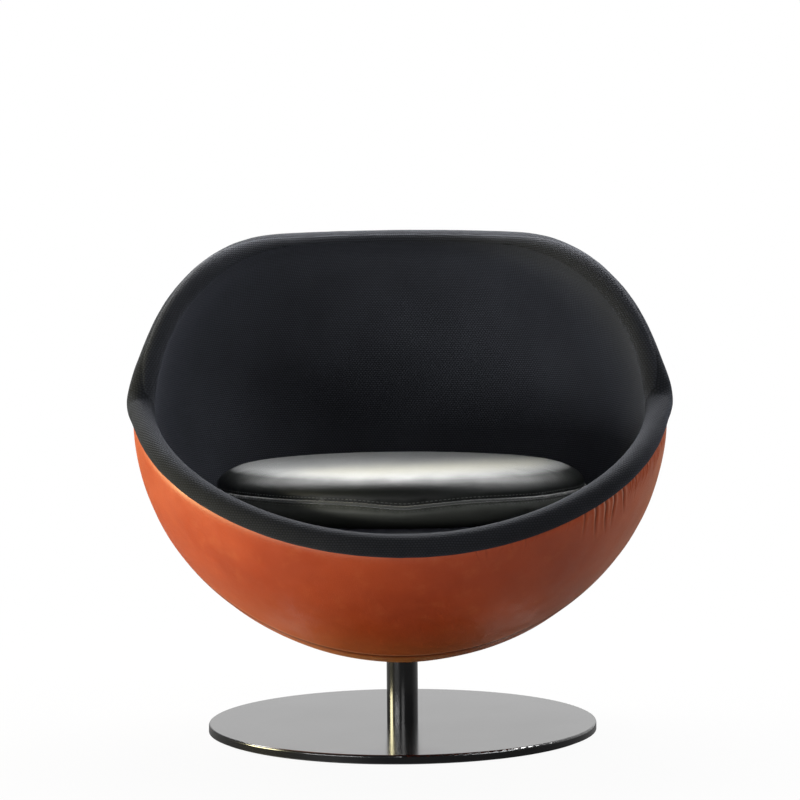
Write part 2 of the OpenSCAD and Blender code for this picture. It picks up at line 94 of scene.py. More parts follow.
# Mouth's edge in the side view, from the ball's centre, as complex numbers: depth + height * 1j
SIDE_CORNER = 0.017j
LIP = -0.345 - 0.152j
FRONT_BOW = 0.010
CORNER_ROUND = 0.040
TOP_R = 0.170
TOP_C = 0.222 + (0.246 - TOP_R) * 1j
HALFWAY = complex(math.cos(math.pi / 4), -math.sin(math.pi / 4))
FRONT_R = (abs(LIP - SIDE_CORNER) ** 2 / 4 + FRONT_BOW**2) / (2 * FRONT_BOW)
FRONT_C = circles_meet(SIDE_CORNER, FRONT_R, LIP, FRONT_R)
CLIMB_END = TOP_C - TOP_R * HALFWAY
CLIMB_RISE = ((SIDE_CORNER - CLIMB_END) * HALFWAY.conjugate()).real
CLIMB_R = abs(CLIMB_END - SIDE_CORNER) ** 2 / (2 * CLIMB_RISE)
CLIMB_C = CLIMB_END + CLIMB_R * HALFWAY
CORNER_C = circles_meet(FRONT_C, FRONT_R + CORNER_ROUND, CLIMB_C, CLIMB_R + CORNER_ROUND)
FRONT_END = CORNER_C + CORNER_ROUND * (FRONT_C - CORNER_C) / abs(FRONT_C - CORNER_C)
CLIMB_START = CORNER_C + CORNER_ROUND * (CLIMB_C - CORNER_C) / abs(CLIMB_C - CORNER_C)


def arc_z(centre, r, y):
    return centre.imag + np.sign(r) * np.sqrt(np.maximum(r * r - (y - centre.real) ** 2, 0))


def edge_z(y):
    """Height of the mouth's edge at depth y, from the ball's centre."""
    arcs = ((FRONT_C, FRONT_R), (CORNER_C, -CORNER_ROUND), (CLIMB_C, CLIMB_R), (TOP_C, TOP_R))
    ends = (FRONT_END, CLIMB_START, CLIMB_END, TOP_C)
    heights = [arc_z(centre, r, y) for centre, r in arcs]
    return np.select([y < end.real for end in ends], heights, TOP_C.imag + TOP_R)


def edge_slope(y):
    return (edge_z(y + 0.0005) - edge_z(y - 0.0005)) / 0.001


def arc_from_lean(lean):
    """Length along the ball's outline from its widest line to where the surface leans by lean."""
    over = np.maximum(np.abs(lean) - JOIN, 0)
    return np.sign(lean) * (SIDE_R * np.minimum(np.abs(lean), JOIN) + CAP_R * over)


def lean_from_arc(s):
    over = np.maximum(np.abs(s) - SIDE_R * JOIN, 0)
    return np.sign(s) * (np.minimum(np.abs(s), SIDE_R * JOIN) / SIDE_R + over / CAP_R)


def outline(lean, depth):
    """Distance from the axis and height from the ball's centre where the normal rises by lean."""
    side = np.abs(lean) < JOIN
    r = np.where(side, SIDE_R, CAP_R) - depth
    out = np.where(side, SIDE_C, 0) + r * np.cos(lean)
    return out, r * np.sin(lean) - np.where(side, 0, np.sign(lean) * CAP_C)


def oval_r(z, depth):
    """Distance from the axis of the surface at that depth, at height z from the ball's centre."""
    side = np.abs(z) < (SIDE_R - depth) * math.sin(JOIN)
    steep = SIDE_C + np.sqrt(np.maximum((SIDE_R - depth) ** 2 - z * z, 0))
    flat = np.sqrt(np.maximum((CAP_R - depth) ** 2 - (np.abs(z) + CAP_C) ** 2, 0))
    return np.where(side, steep, flat)


def deck_z(y):
    return DECK_Z - (y - SEAT_AT.y) * math.tan(SEAT_LEAN)


def surface(turn, lean, depth):
    """Point and normal of the ball at that depth, with turn from the front towards +X."""
    out, up = outline(lean, depth)
    point = np.stack([out * np.sin(turn), -out * np.cos(turn), up + BALL_Z], -1)
    normal = np.stack([np.cos(lean) * np.sin(turn), -np.cos(lean) * np.cos(turn), np.sin(lean)], -1)
    return point, normal


def solve(low, high, above, steps=40):
    """Where above(x) turns from false to true between low and high."""
    for _ in range(steps):
        mid = (low + high) / 2
        hit = above(mid)
        high = np.where(hit, mid, high)
        low = np.where(hit, low, mid)
    return (low + high) / 2


def edge_lean(turn, depth, drop):
    """Lean at which the surface at that depth meets the mouth's cut, drop below the edge."""

    def above(lean):
        out, up = outline(lean, depth)
        y = -out * np.cos(turn)
        return up > edge_z(y) - drop * np.sqrt(1 + edge_slope(y) ** 2)

    return solve(np.full_like(turn, -1.5), np.full_like(turn, 1.3), above)


def seam_lean(turn, top):
    """Lean at which the outer face meets the leather seam's plane, or top where it doesn't."""

    def above(lean):
        out, up = outline(lean, 0)
        return -out * np.cos(turn) - SEAM_Y - SEAM_TAN * up < 0

    found = solve(np.full_like(turn, -1.55), top.copy(), above)
    out, up = outline(top, 0)
    return np.where(-out * np.cos(turn) - SEAM_Y - SEAM_TAN * up < 0, found, top)


def seam_distance(point, normal):
    """Distance along the surface from the leather seam, below zero in front of it."""
    plane = np.array([0, 1, -SEAM_TAN]) / math.hypot(1, SEAM_TAN)
    away = (point - np.array([0, SEAM_Y, BALL_Z])) @ plane
    tilt = normal @ plane
    return away / np.sqrt(np.maximum(1 - tilt**2, 0.05))


def wave(seed, *coords, octaves=3):
    """Smooth repeatable noise from sums of sines, about -1 to 1."""
    rng = np.random.default_rng(seed)
    total, size = 0, 1.0
    for octave in range(octaves):
        for _ in range(4):
            phase = rng.uniform(0, 2 * math.pi)
            mix = rng.normal(size=len(coords)) * 2**octave
            total = total + size * np.sin(sum(m * c for m, c in zip(mix, coords)) + phase)
        size *= 0.5
    return total / 4


def spaced(low, high, density, count):
    """count points from low to high, closer together where density is larger."""
    x = np.linspace(low, high, 4001)
    total = np.concatenate([[0], np.cumsum((density(x)[1:] + density(x)[:-1]) / 2)])
    return np.interp(np.linspace(0, total[-1], count), total, x)


def unit(v):
    return v / np.linalg.norm(v, axis=-1, keepdims=True)


def bell(x):
    return np.exp(-(x**2))


def smoothstep(x):
    x = np.clip(x, 0, 1)
    return x * x * (3 - 2 * x)


def length_to(points):
    """Length along a line of points from its first to each."""
    steps = np.linalg.norm(np.diff(points, axis=0), axis=1)
    return np.concatenate([[0], np.cumsum(steps)])


def add_object(name, data):
    made = bpy.data.objects.new(name, data)
    scene.collection.objects.link(made)
    return made


def to_object(name, points, faces, smooth=True):
    mesh = bpy.data.meshes.new(name)
    mesh.from_pydata(np.asarray(points, float).tolist(), [], faces)
    mesh.update()
    if smooth:
        mesh.polygons.foreach_set("use_smooth", np.ones(len(mesh.polygons), bool))
    return add_object(name, mesh)


def grid_faces(rows, cols, closed, flip):
    """Quads of a grid whose points run row by row."""
    i, j = np.meshgrid(np.arange(rows - 1), np.arange(cols if closed else cols - 1), indexing="ij")
    k = (j + 1) % cols
    quad = [i * cols + j, i * cols + k, (i + 1) * cols + k, (i + 1) * cols + j]
    quad = np.stack(quad, -1).reshape(-1, 4)
    return quad[:, ::-1] if flip else quad


def put_values(piece, name, values):
    """Stores a number at each point, for the materials."""
    layer = piece.data.attributes.new(name, "FLOAT", "POINT")
    layer.data.foreach_set("value", np.asarray(values, np.float32).ravel())


def put_cloth(piece, cloth, corners):
    """Stores each face corner's place on the flat cloth, for the weave."""
    values = np.zeros((len(corners), 4, 3), np.float32)
    values[..., :2] = cloth.reshape(-1, 2)[corners]
    layer = piece.data.attributes.new("cloth", "FLOAT_VECTOR", "CORNER")
    layer.data.foreach_set("vector", values.ravel())


def grid_object(name, points, closed=False, flip=False, cloth=None, shade=None):
    """Object from a grid of points; the cloth of a closed grid has one column more."""
    rows, cols = points.shape[:2]
    faces = grid_faces(rows, cols, closed, flip)
    made = to_object(name, points.reshape(-1, 3), faces.tolist())
    if cloth is not None:
        put_cloth(made, cloth, grid_faces(rows, cloth.shape[1], False, flip))
    if shade is not None:
        put_values(made, "shade", shade)
    return made


# Materials
class Tree:
    """A small builder for the nodes of a material or of the world."""

    def __init__(self, owner):
        owner.use_nodes = True
        self.tree = owner.node_tree

    def add(self, kind, **values):
        node = self.tree.nodes.new(kind)
        for key, value in values.items():
            if key in node.inputs:
                self.put(node.inputs[key], value)
            else:
                setattr(node, key, value)
        return node

    def put(self, socket, value):
        if isinstance(value, bpy.types.NodeSocket):
            self.tree.links.new(value, socket)
        else:
            socket.default_value = value

    def place(self, system="Object"):
        return self.add("ShaderNodeTexCoord").outputs[system]

    def split(self, vector):
        node = self.add("ShaderNodeSeparateXYZ")
        self.put(node.inputs[0], vector)
        return node.outputs

    def noise(self, scale, detail=3.0, vector=None, roughness=0.5):
        node = self.add("ShaderNodeTexNoise", Scale=scale, Detail=detail, Roughness=roughness)
        self.put(node.inputs["Vector"], vector or self.place())
        return node.outputs["Fac"]

    def math(self, operation, a, b=0.0, c=0.0):
        node = self.add("ShaderNodeMath", operation=operation)
        for socket, value in zip(node.inputs, (a, b, c)):
            self.put(socket, value)
        return node.outputs[0]

    def spread(self, value, low, high, start=0.0, end=1.0, ease="LINEAR"):
        """value, which runs from start to end, stretched from low to high."""
        node = self.add("ShaderNodeMapRange", interpolation_type=ease)
        for socket, number in zip(node.inputs, (value, start, end, low, high)):
            self.put(socket, number)
        return node.outputs[0]

    def ramp(self, value, start, end, low, high):
        """low up to start and high from end on, eased between them."""
        return self.spread(value, low, high, start, end, "SMOOTHSTEP")

    def mix(self, fac, a, b, blend="MIX"):
        node = self.add("ShaderNodeMix", data_type="RGBA", blend_type=blend)
        self.put(node.inputs["Factor"], fac)
        self.put(node.inputs[6], a)
        self.put(node.inputs[7], b)
        return node.outputs[2]

    def bump(self, height, distance, strength=1.0, normal=None):
        node = self.add("ShaderNodeBump", Strength=strength, Distance=distance)
        self.put(node.inputs["Height"], height)
        if normal is not None:
            self.put(node.inputs["Normal"], normal)
        return node.outputs[0]

    def attribute(self, name, output="Fac"):
        return self.add("ShaderNodeAttribute", attribute_name=name).outputs[output]


class Nodes(Tree):
    """The nodes of a new material with a principled shader."""

    def __init__(self, name):
        self.material = bpy.data.materials.new(name)
        super().__init__(self.material)
        self.shader = self.tree.nodes["Principled BSDF"]

    def set(self, **values):
        for key, value in values.items():
            self.put(self.shader.inputs[key.replace("_", " ")], value)


def rgb(red, green, blue):
    """Colour on the screen, 0 to 255, as the linear colour that Blender takes."""

    def linear(c):
        c /= 255
        return c / 12.92 if c <= 0.04045 else ((c + 0.055) / 1.055) ** 2.4

    return (linear(red), linear(green), linear(blue), 1)


def scaled(colour, factor, add=0.0):
    return tuple(add + factor * c for c in colour[:3]) + (1,)


def leather(name, base, deep, pale, pebble, grain, rough):
    """Leather with pebbled grain, pores, tone variation, painted shade in creases and a painted
    highlight on fold tops.
    """
    n = Nodes(name)
    tone = n.noise(7.0, 4.0)
    colour = n.mix(n.spread(tone, 0.0, 1.0, 0.3, 0.7), base, deep)
    cells = n.add("ShaderNodeTexVoronoi", feature="SMOOTH_F1", Scale=1 / pebble, Smoothness=0.35)
    n.put(cells.inputs["Vector"], n.place())
    pores = n.spread(cells.outputs["Distance"], 0.0, 1.0, 0.25, 0.75)
    fine = n.noise(1 / (pebble * 0.35), 2.0)
    colour = n.mix(n.math("MULTIPLY", pores, 0.3), colour, deep)
    # The stored shade value paints light and shade: below zero it darkens towards a dark brown as
    # painted shade, above zero it pales as a painted highlight
    fold = n.attribute("shade")
    colour = n.mix(n.spread(fold, 0.0, 0.85, 0.0, -1.0), colour, scaled(deep, 0.25))
    colour = n.mix(n.spread(fold, 0.0, 0.3, 0.0, 1.0), colour, pale)
    # The tops of the deepest folds are painted pale, as a painted highlight
    fold_top_highlight = scaled(pale, 0.5, 0.35)
    colour = n.mix(n.spread(fold, 0.0, 0.6, 0.35, 1.0), colour, fold_top_highlight)
    scuff = n.spread(n.noise(38.0, 6.0, roughness=0.65), 0.0, 0.22, 0.55, 0.85)
    colour = n.mix(scuff, colour, pale)
    height = n.math("MULTIPLY_ADD", pores, -1.0, n.math("MULTIPLY", fine, 0.35))
    n.set(Base_Color=colour, Normal=n.bump(height, grain))
    n.set(Roughness=n.spread(n.noise(22.0, 3.0), rough - 0.05, rough + 0.07, 0.3, 0.7))
    return n


def weave(name, dark, light, relief, rough=0.85):
    """Coarse weave: short raised dashes, each row stepped half a dash from the one before."""
    n = Nodes(name)
    cloth = n.split(n.attribute("cloth", "Vector"))
    waver = n.math("MULTIPLY", n.noise(24.0, 2.0), CLOTH_ROW * 1.5)
    along = n.math("DIVIDE", n.math("ADD", cloth[0], waver), CLOTH_DASH)
    down = n.math("DIVIDE", n.math("ADD", cloth[1], waver), CLOTH_ROW)
    row = n.math("FLOOR", down)
    step = n.math("FRACT", n.math("MULTIPLY_ADD", row, 0.5, along))
    across = n.math("FRACT", down)
    humps = [n.math("SINE", n.math("MULTIPLY", part, math.pi)) for part in (step, across)]
    yarn = n.math("POWER", n.math("MAXIMUM", n.math("MULTIPLY", *humps), 0.0), 0.6)
    fuzz = n.noise(900.0, 3.0)
    tone = n.spread(n.noise(9.0, 3.0), 0.85, 1.15, 0.3, 0.7)
    colour = n.mix(n.math("MULTIPLY", yarn, n.spread(fuzz, 0.6, 1.0, 0.3, 0.7)), dark, light)
    shade = n.add("ShaderNodeCombineColor")
    for socket in shade.inputs[:3]:
        n.put(socket, tone)
    colour = n.mix(1.0, colour, shade.outputs[0], "MULTIPLY")
    # Where a piece stores a shade value, the cloth is darkened towards near black as painted shade
    colour = n.mix(n.math("MULTIPLY", n.attribute("shade"), 0.6), colour, rgb(10, 11, 13))
    height = n.math("MULTIPLY_ADD", fuzz, 0.2, yarn)
    n.set(Base_Color=colour, Normal=n.bump(height, relief))
    n.set(Roughness=n.spread(fuzz, rough - 0.06, rough + 0.06, 0.3, 0.7))
    return n


ORANGE, DEEP_ORANGE, PALE_ORANGE = rgb(178, 64, 22), rgb(156, 48, 15), rgb(212, 124, 70)
outer = leather("outer_leather", ORANGE, DEEP_ORANGE, PALE_ORANGE, 0.0016, 0.00012, 0.5)
outer.set(Specular_IOR_Level=1.0, Specular_Tint=rgb(255, 240, 210))
outer.set(Sheen_Weight=0.15, Sheen_Roughness=0.45, Sheen_Tint=rgb(255, 180, 80))
OUTER_LEATHER = outer.material


def cushion_leather(name, base, deep):
    n = leather(name, base, deep, rgb(50, 54, 51), 0.0011, 0.00010, 0.48)
    # The upper face is painted a paler tone as a painted highlight, and has a sheen that the border
    # hasn't
    top_sheen_and_painted_light = n.attribute("top_sheen_and_painted_light")
    colour = n.shader.inputs["Base Color"].links[0].from_socket
    n.set(Base_Color=n.mix(n.math("MULTIPLY", top_sheen_and_painted_light, 0.7), colour, rgb(84, 86, 84)))
    n.set(Sheen_Weight=top_sheen_and_painted_light, Sheen_Roughness=0.45, Sheen_Tint=rgb(244, 245, 245))
    n.set(Specular_IOR_Level=0.3)
    return n.material


CUSHION_LEATHER = cushion_leather("cushion_leather", rgb(27, 30, 28), rgb(19, 21, 20))
# The lower half gets a lighter grey copy of the cushion leather, as painted light below the seam
LOWER_LEATHER_PAINTED_LIGHT = cushion_leather("cushion_leather_low_painted_light", rgb(80, 82, 77), rgb(66, 68, 64))

lining = weave("lining_fabric", rgb(20, 21, 25), rgb(82, 85, 93), 0.0005)
lining.set(Sheen_Weight=0.2, Sheen_Roughness=0.5, Sheen_Tint=rgb(190, 195, 215))
lining.set(Specular_IOR_Level=0.2)
LINING = lining.material

rim = weave("rim_fabric", rgb(13, 14, 16), rgb(43, 45, 50), 0.0005)
rim.set(Sheen_Weight=0.10, Sheen_Roughness=0.45, Sheen_Tint=rgb(185, 193, 220))
rim.set(Specular_IOR_Level=0.12)
RIM = rim.material

# Powder-coated steel: fine orange peel and a little dust
coated = Nodes("black_steel")
peel = coated.noise(1400.0, 2.0)
dust = coated.spread(coated.noise(26.0, 6.0, roughness=0.7), 0.0, 0.12, 0.55, 0.9)
coated.set(
    Base_Color=coated.mix(dust, rgb(10, 11, 13), rgb(50, 50, 52)),
    Roughness=coated.spread(coated.noise(7.0, 3.0), 0.17, 0.21, 0.3, 0.7),
    Normal=coated.bump(peel, 0.000006),
    Specular_IOR_Level=0.7,
    Coat_Weight=0.6,
    Coat_Roughness=0.12,
)
BLACK_STEEL = coated.material


def metal(name, colour, rough, scratch=0.00002):
    n = Nodes(name)
    streaks = n.add("ShaderNodeMapping")
    streaks.inputs["Scale"].default_value = (1.0, 1.0, 14.0)
    n.put(streaks.inputs["Vector"], n.place())
    lines = n.noise(420.0, 4.0, streaks.outputs[0])
    n.set(
        Base_Color=n.mix(n.noise(60.0, 3.0), colour, scaled(colour, 0.72)),
        Metallic=1.0,
        Roughness=n.spread(lines, rough - 0.08, rough + 0.12),
        Normal=n.bump(lines, scratch),
    )
    return n.material


def moulded(name, colour, rough):
    n = Nodes(name)
    n.set(
        Base_Color=n.mix(n.noise(25.0, 4.0), colour, scaled(colour, 0.8)),
        Roughness=n.spread(n.noise(90.0, 3.0), rough - 0.05, rough + 0.08),
        Normal=n.bump(n.noise(900.0, 2.0), 0.00005),
    )
    return n.material


def fuzzy(name, colour, light, rough=0.95):
    n = Nodes(name)
    fibres = n.noise(1500.0, 5.0, roughness=0.7)
    n.set(
        Base_Color=n.mix(fibres, colour, light),
        Roughness=n.spread(fibres, rough - 0.05, rough),
        Normal=n.bump(fibres, 0.0004),
        Sheen_Weight=0.3,
    )
    return n.material


def plywood(name):
    n = Nodes(name)
    grain = n.add("ShaderNodeMapping")
    grain.inputs["Scale"].default_value = (3.0, 40.0, 3.0)
    n.put(grain.inputs["Vector"], n.place())
    lines = n.noise(4.0, 6.0, grain.outputs[0])
    plies = n.math("FRACT", n.math("MULTIPLY", n.split(n.place())[2], 330.0))
    darker = n.math("MULTIPLY", n.math("GREATER_THAN", plies, 0.5), 0.35)
    colour = n.mix(lines, rgb(214, 180, 132), rgb(168, 128, 82))
    colour = n.mix(darker, colour, rgb(120, 84, 50))
    n.set(Base_Color=colour, Roughness=0.62, Normal=n.bump(lines, 0.0001))
    return n.material


STEEL = metal("steel", (0.55, 0.55, 0.56, 1), 0.34)
BRONZE = metal("bronze", (0.62, 0.42, 0.22, 1), 0.32)
ZIP_METAL = metal("zip_metal", (0.36, 0.34, 0.31, 1), 0.3)
BUSH = moulded("bush_plastic", rgb(226, 224, 216), 0.42)
BOWL = moulded("bowl_plastic", rgb(206, 196, 170), 0.5)
PLYWOOD = plywood("plywood")
FELT = fuzzy("felt", rgb(38, 38, 40), rgb(84, 84, 88))
ZIP_FABRIC = fuzzy("zip_fabric", rgb(20, 20, 21), rgb(46, 46, 48))
THREAD = fuzzy("thread", rgb(52, 56, 53), rgb(92, 96, 92), 0.7)


def paint(piece, material):
    piece.data.materials.clear()
    piece.data.materials.append(material)


def dress(piece, material, body, slot, fill=None, stands_for=()):
    """Gives a piece its material and body, and hides the CAD nodes that it stands for."""
    paint(piece, material)
    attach(piece, body)
    if stands_for:
        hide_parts(*stands_for)
    return piece


for material, names in (
    (BLACK_STEEL, ("base_plate", "column_tube")),
    (STEEL, ("base_washer", "base_bolt", "column_foot")),
    (STEEL, ("spindle", "spindle_washer", "spindle_clip")),
    (STEEL, ("seat_flange", "flange_washers", "flange_bolts")),
    (BUSH, ("lower_bush", "upper_bush")),
    (BRONZE, ("thrust_washer",)),
    (BOWL, ("shell",)),
    (PLYWOOD, ("floor_board",)),
    (ZIP_METAL, ("zip_slider",)),
):
    for name in names:
        paint(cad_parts[name], material)

# Mouth's middle line, at even steps
turns = np.linspace(0, 2 * math.pi, 6001)


def edge_points(turn):
    lean = edge_lean(turn, WALL_T / 2, 0)
    return surface(turn, lean, WALL_T / 2)


dense, _ = edge_points(turns)
lengths = length_to(dense)
ROUND_MOUTH = lengths[-1]


def along_mouth(turn):
    """Length along the mouth from its front, for a turn from 0 to a full circle."""
    return np.interp(np.mod(turn, 2 * math.pi), turns, lengths)


# Rim roll: round between two angles, flat on the bowl's edge, and thicker at the side corners
ROLL_FROM, ROLL_TO = -40, 220
ROLL_FLAT = ((-0.0112, -0.0086), (0, -0.0083), (0.0112, -0.0086))
CORNER_BULGE, CORNER_REACH = 0.009, 0.05


def roll_frame(turn):
    """The roll's centre line, its directions out and square to the mouth, its shear and bulge."""
    point, normal = edge_points(turn)
    ahead = np.roll(point, -1, 0) - np.roll(point, 1, 0)
    slope = edge_slope(point[:, 1])
    square = unit(np.stack([0 * slope, -slope, 1 + 0 * slope], -1))
    across = unit(np.cross(ahead, square))
    across *= np.sign(np.sum(across * normal, -1, keepdims=True))
    lean = np.sum(normal * square, -1) / np.sum(normal * across, -1)
    side = np.array([BALL_R - WALL_T / 2, 0, edge_z(np.zeros(1))[0] + BALL_Z])
    gap = np.linalg.norm(np.abs(point * [1, 0, 0]) + point * [0, 1, 1] - side, axis=-1)
    return point, across, square, lean, CORNER_BULGE * bell(gap / CORNER_REACH)


def cloth_rise(turn):
    """Where the lining's edge lies on the flat cloth, and the way across it, once round."""
    wide = np.append(turn, 2 * math.pi)
    meet = np.stack([wide * CLOTH_R, arc_from_lean(edge_lean(wide, WALL_T, 0))], -1)
    way = np.roll(meet[:-1], -1, 0) - np.roll(meet[:-1], 1, 0)
    way[0, 0] = way[-1, 0] = way[1, 0]
    rise = unit(np.stack([-way[:, 1], way[:, 0]], -1))
    return meet, np.concatenate([rise, rise[:1]])


def make_roll():
    count, corners = 720, 30
    turn = np.interp(np.arange(count) / count * ROUND_MOUTH, lengths, turns)
    point, across, square, lean, proud = roll_frame(turn)
    angles = np.radians(np.linspace(ROLL_FROM, ROLL_TO, corners))
    section = np.stack([ROLL_R * np.cos(angles), ROLL_R * np.sin(angles)], -1)
    section = np.concatenate([section, ROLL_FLAT])
    s0, s1 = section[:, 0][:, None], section[:, 1][:, None]
    length = along_mouth(turn)
    soft = 0.00035 * wave(5, length * 22) + 0.0002 * wave(6, length * 90, octaves=2)
    out = s0 * np.sqrt(1 + lean**2) - np.minimum(s1, 0) * lean + proud * (1 + s0 / ROLL_R) / 2
    swell = 1 + soft / ROLL_R * (1 + s0 / ROLL_R) / 2
    points = point + (out * swell)[..., None] * across + (s1 * swell)[..., None] * square
    # The cloth runs on from the lining, square to the line where the roll meets it
    girth = (np.radians(ROLL_TO) * ROLL_R - length_to(section)) - math.pi * ROLL_R
    meet, rise = cloth_rise(turn)
    cloth = meet[None] - girth[:, None, None] * rise[None]
    cloth = np.concatenate([cloth, cloth[:1]])
    # The section's last row is the first again, so its points are shared
    rows = len(points)
    faces = grid_faces(rows + 1, count, True, False) % (rows * count)
    made = to_object("rim_roll", points.reshape(-1, 3), faces.tolist())
    put_cloth(made, cloth, grid_faces(rows + 1, count + 1, False, False))
    return made


dress(make_roll(), RIM, "seat", "rim_fabric", 0.8, ("rim_cover", "rim_core"))


# Lining and deck: the lining runs down below the deck's edge
BELOW_DECK = 0.014


def make_lining():
    cols, rows, lap_rows = 540, 90, 25
    turn = np.arange(cols) / cols * 2 * math.pi
    top = edge_lean(turn, WALL_T, 0)

    def over_deck(lean):
        out, up = outline(lean, WALL_T)
        return up + BALL_Z > deck_z(-out * np.cos(turn)) - BELOW_DECK

    low = solve(np.full_like(turn, -1.5), top.copy(), over_deck)
    step = spaced(0, 1, lambda t: 1 + 9 * np.exp(-t / 0.05), rows)
    s = arc_from_lean(top)[None] + (arc_from_lean(low) - arc_from_lean(top))[None] * step[:, None]
    lean = lean_from_arc(s)
    down = arc_from_lean(top)[None] - s
    point, normal = surface(turn[None] + 0 * lean, lean, WALL_T)
    soft = 0.0008 * wave(11, np.cos(turn)[None] * 3, np.sin(turn)[None] * 3, s * 14)
    soft = soft * np.clip(down / 0.03 - 0.3, 0, 1)
    over = 0.00145 * bell(down / 0.014)
    tuck = 0.002 * np.exp(-((s - arc_from_lean(low)[None]) / 0.01))
    point = point + (tuck + soft - over)[..., None] * normal
    wide = np.append(turn, 2 * math.pi)
    below = np.concatenate([s, s[:, :1]], 1)
    cloth = np.stack(np.broadcast_arrays(wide[None] * CLOTH_R, below), -1)
    # Above, the lining runs on over the roll's inner side, and its edge is turned in there
    middle, across, square, shear, proud = roll_frame(turn)
    high = smoothstep((middle[:, 1] + 0.03) / 0.06)
    part = np.linspace(1, 0.04, lap_rows)[:, None]
    steep = np.clip(edge_slope(middle[:, 1]) / 0.7, 0, 1)
    angle = np.radians(4 + high * (42 + 80 * steep))[None] * part
    clear = 0.00015 + 0.0006 * (1 - np.cos(angle)) - 0.0007 * np.clip((part - 0.9) / 0.1, 0, 1)
    out = -(ROLL_R + clear) * np.cos(angle) * np.sqrt(1 + shear**2)
    out = out + proud * (1 - np.cos(angle)) / 2
    up = (ROLL_R + clear) * np.sin(angle)
    lap = middle + out[..., None] * across + up[..., None] * square
    meet, rise = cloth_rise(turn)
    # Painted shade: the lap over the roll is darkened fully, and the wall below it less and less
    # away from its edge
    shade = np.concatenate([0 * lap[..., 0] + 1, bell(down / 0.03)])
    angle = np.concatenate([angle, angle[:, :1]], 1)
    point = np.concatenate([lap, point])
    cloth = np.concatenate([meet + (ROLL_R * angle)[..., None] * rise, cloth])
    return grid_object("bowl_lining", point, closed=True, cloth=cloth, shade=shade)


dress(make_lining(), LINING, "seat", "lining_fabric", 0.7, ("lining", "inner_padding"))


def make_deck():
    cols, rows = 180, 36
    turn = np.arange(cols) / cols * 2 * math.pi

    def outside(reach):
        x, y = reach * np.sin(turn), SEAT_AT.y - reach * np.cos(turn)
        return np.hypot(x, y) > oval_r(deck_z(y) - BALL_Z, WALL_T + DECK_GAP)

    reach = solve(np.full_like(turn, 0.2), np.full_like(turn, 0.4), outside)
    share = spaced(0.001, 1, lambda t: 1 + 9 * np.exp(-(1 - t) / 0.03), rows)[:, None]
    out = reach[None] * share
    y = SEAT_AT.y - out * np.cos(turn)
    drop = 0.0004 + 0.011 * np.exp(-(((1 - share) * reach[None] / 0.0065) ** 0.9))
    point = np.stack([out * np.sin(turn), y, deck_z(y) - drop], -1)
    flat = np.concatenate([point[..., :2], point[:, :1, :2]], 1)
    return grid_object("seat_deck", point, closed=True, flip=True, cloth=flat)


dress(make_deck(), LINING, "seat", "lining_fabric", 0.8, ("deck_cover", "seat_block"))


# Leather
def gathers(seed, spans):
    """Folds under the rim, as place, width, length, height and slant, for spans along the mouth."""
    rng = np.random.default_rng(seed)
    rows = []
    for start, end, spacing, width, reach, height in spans:
        at = start + spacing * rng.uniform(0.2, 0.8)
        while at < end:
            size = rng.uniform(0.3, 1.2)
            wide = width * rng.uniform(0.7, 1.3)
            slant = rng.uniform(-0.2, 0.2)
            rows.append((at, wide, reach * (0.4 + 0.7 * size), height * size, slant))
            at += spacing * rng.uniform(0.6, 1.5)
    return rows


def fold_height(length, down, folds):
    """Sum of the folds' heights at a length along the mouth and a distance below its edge."""
    total = np.zeros(np.broadcast(length, down).shape)
    for at, width, reach, height, slant in folds:
        near = np.abs(length - at) < 6 * width + 0.3 * reach
        cols = np.nonzero(near.any(0))[0]
        if not len(cols):
            continue
        part = slice(cols[0], cols[-1] + 1)
        below = down[:, part]
        offset = length[:, part] - at - slant * below * (1 + below / reach)
        ridge = bell((offset + 1.6 * width) / width)
        ridge = ridge + 0.6 * bell((offset - 2.1 * width) / (1.4 * width))
        total[:, part] += height * bell(below / reach) * (-bell(offset / width) + 0.7 * ridge)
    return total


# Deep folds below the right of the lip, where the leather is drawn in most, then the gathers.
# A fold has its place along the mouth, width, length, height and slant
FOLDS = [
    (0.288, 0.0024, 0.032, 0.0018, 0.10),
    (0.310, 0.0025, 0.046, 0.0028, 0.16),
    (0.331, 0.0025, 0.050, 0.0032, 0.18),
    (0.351, 0.0024, 0.042, 0.0031, 0.12),
    (0.373, 0.0024, 0.040, 0.0030, 0.20),
] + gathers(
    3,
    [
        (-0.09, 0.10, 0.012, 0.0012, 0.010, 0.00025),
        (0.10, 0.19, 0.013, 0.0016, 0.017, 0.0007),
        (0.19, 0.28, 0.018, 0.0020, 0.014, 0.0006),
        (0.39, 0.56, 0.0075, 0.0014, 0.020, 0.0020),
        (0.54, 0.90, 0.014, 0.0020, 0.014, 0.0008),
        (0.90, ROUND_MOUTH - 0.90, 0.024, 0.0030, 0.018, 0.0005),
        (ROUND_MOUTH - 0.90, ROUND_MOUTH - 0.45, 0.020, 0.0026, 0.014, 0.0005),
        (ROUND_MOUTH - 0.27, ROUND_MOUTH - 0.15, 0.010, 0.0012, 0.013, 0.0004),
    ],
)
# The mouth's length starts again at the middle of the lip, so the folds there are drawn twice
LIP_FOLDS = [fold for fold in FOLDS if fold[0] < 0.05]


